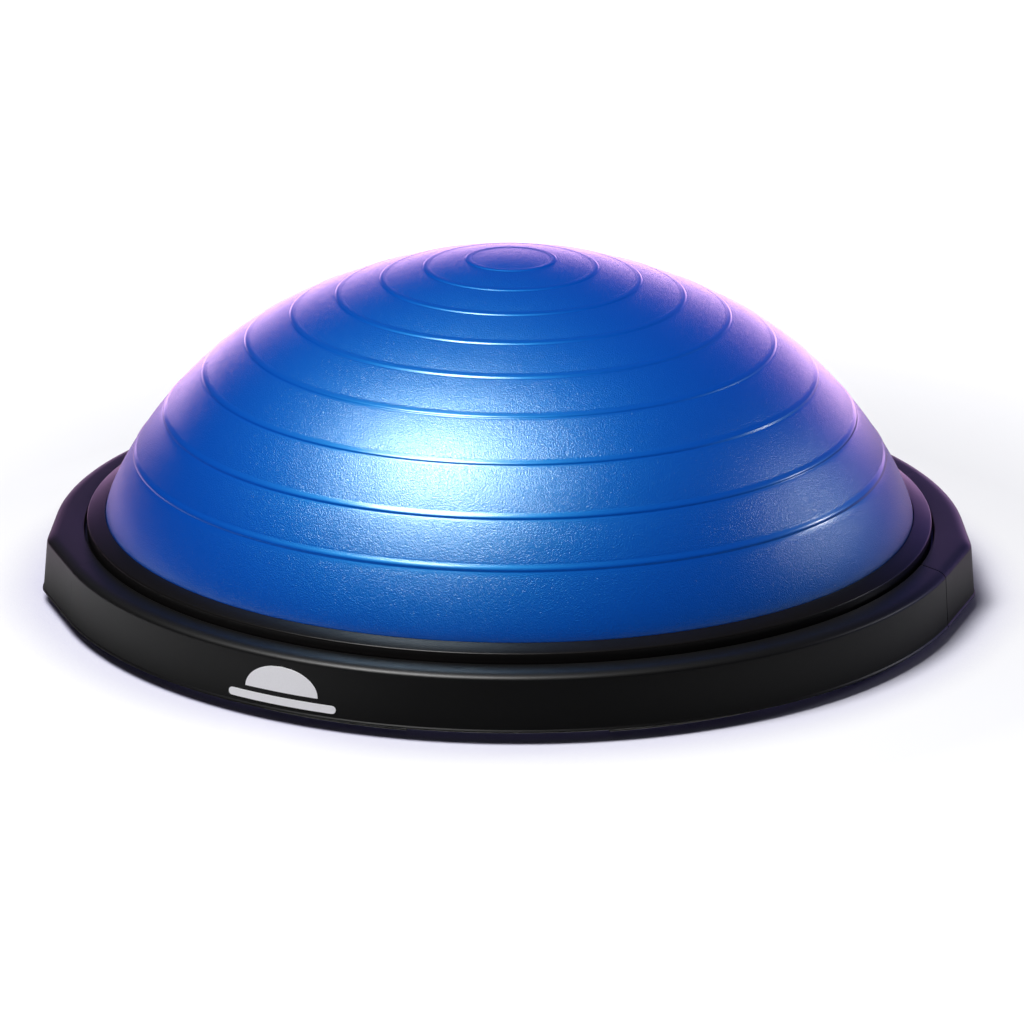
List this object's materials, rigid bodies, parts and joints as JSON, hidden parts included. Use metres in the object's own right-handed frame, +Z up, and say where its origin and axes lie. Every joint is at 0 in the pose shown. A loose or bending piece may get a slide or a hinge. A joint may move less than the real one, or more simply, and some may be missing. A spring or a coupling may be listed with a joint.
{
  "type": "balance dome trainer",
  "caption": "Low inflatable rubber dome with raised ribs, clamped by a ring to a flat round platform with handle recesses underneath, for standing balance exercise.",
  "frame": {"origin": "on the floor, under the centre of the platform", "axes": "+Z up along the dome's axis; the ends with the handle recesses face +X and -X; the marked front faces -Y"},
  "size_m": [0.6434, 0.64, 0.2344],
  "materials": {
    "dome_pvc": "satin pebble-grained soft PVC",
    "membrane": "matt PVC sheet",
    "ring_plastic": "satin moulded polypropylene",
    "platform_plastic": "satin moulded polypropylene",
    "base_plastic": "fine-grained moulded polypropylene",
    "grip_rubber": "matt rubber",
    "valve_rubber": "matt rubber",
    "plug_plastic": "smooth moulded polyethylene",
    "screw_steel": "zinc-plated steel",
    "mark_paint": "flat light grey print"
  },
  "bodies": {
    "platform": {"bladder_floor": "membrane", "clamp_ring": "ring_plastic", "platform_deck": "platform_plastic", "platform_base": "base_plastic", "end_cap_right": "platform_plastic", "end_cap_left": "platform_plastic", "handle_grip_right": "grip_rubber", "handle_grip_left": "grip_rubber", "valve_seat": "valve_rubber", "valve_nut": "base_plastic", "clamp_screw_01": "screw_steel", "clamp_screw_02": "screw_steel", "clamp_screw_03": "screw_steel", "clamp_screw_04": "screw_steel", "clamp_screw_05": "screw_steel", "clamp_screw_06": "screw_steel", "clamp_screw_07": "screw_steel", "clamp_screw_08": "screw_steel", "clamp_screw_09": "screw_steel", "clamp_screw_10": "screw_steel", "clamp_screw_11": "screw_steel", "clamp_screw_12": "screw_steel", "base_screw_01": "screw_steel", "base_screw_02": "screw_steel", "base_screw_03": "screw_steel", "base_screw_04": "screw_steel", "base_screw_05": "screw_steel", "base_screw_06": "screw_steel", "base_screw_07": "screw_steel", "base_screw_08": "screw_steel", "cap_screw_01": "screw_steel", "cap_screw_02": "screw_steel", "cap_screw_03": "screw_steel", "cap_screw_04": "screw_steel", "foot_pad_01": "grip_rubber", "foot_pad_02": "grip_rubber", "foot_pad_03": "grip_rubber", "foot_pad_04": "grip_rubber", "foot_pad_05": "grip_rubber", "foot_pad_06": "grip_rubber", "foot_pad_07": "grip_rubber", "foot_pad_08": "grip_rubber", "mark_dome": "mark_paint", "mark_bar": "mark_paint"},
    "dome": {"dome_bladder": "dome_pvc"},
    "valve_plug": {"valve_plug": "plug_plastic"}
  },
  "joints": [
    {"name": "dome_press", "type": "slide", "parent": "platform", "child": "dome", "axis": [0, 0, -1], "range_m": [0, 0.04], "stiffness_N_per_m": 12000, "deforming": ["dome_bladder"]},
    {"name": "valve_plug_pull", "type": "slide", "parent": "platform", "child": "valve_plug", "axis": [0, 0, -1], "range_m": [0, 0.028]}
  ]
}
